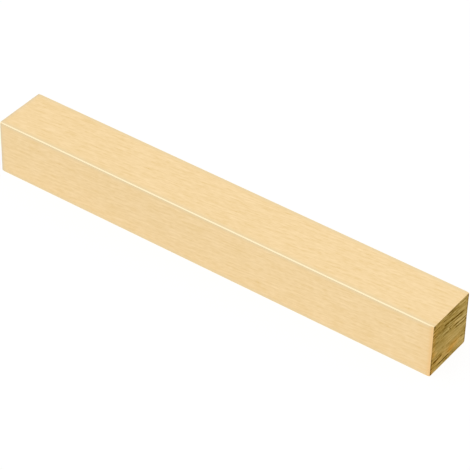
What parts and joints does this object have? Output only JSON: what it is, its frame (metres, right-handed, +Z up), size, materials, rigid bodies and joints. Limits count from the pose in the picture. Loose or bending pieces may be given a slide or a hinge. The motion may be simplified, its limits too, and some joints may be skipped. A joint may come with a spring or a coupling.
{
  "type": "brass square bar",
  "caption": "Solid square bar of brass with brushed flat faces, slightly rounded long corners and sawn, deburred square ends.",
  "frame": {"origin": "centre of the underside, on the surface that the bar lies on", "axes": "+X along the bar, +Y across it, +Z up from the underside to the top face"},
  "size_m": [0.25, 0.03, 0.03],
  "materials": {
    "brass": "satin, brushed along its length, with raw sawn ends"
  },
  "bodies": {
    "root": {"square_bar": "brass"}
  },
  "joints": []
}
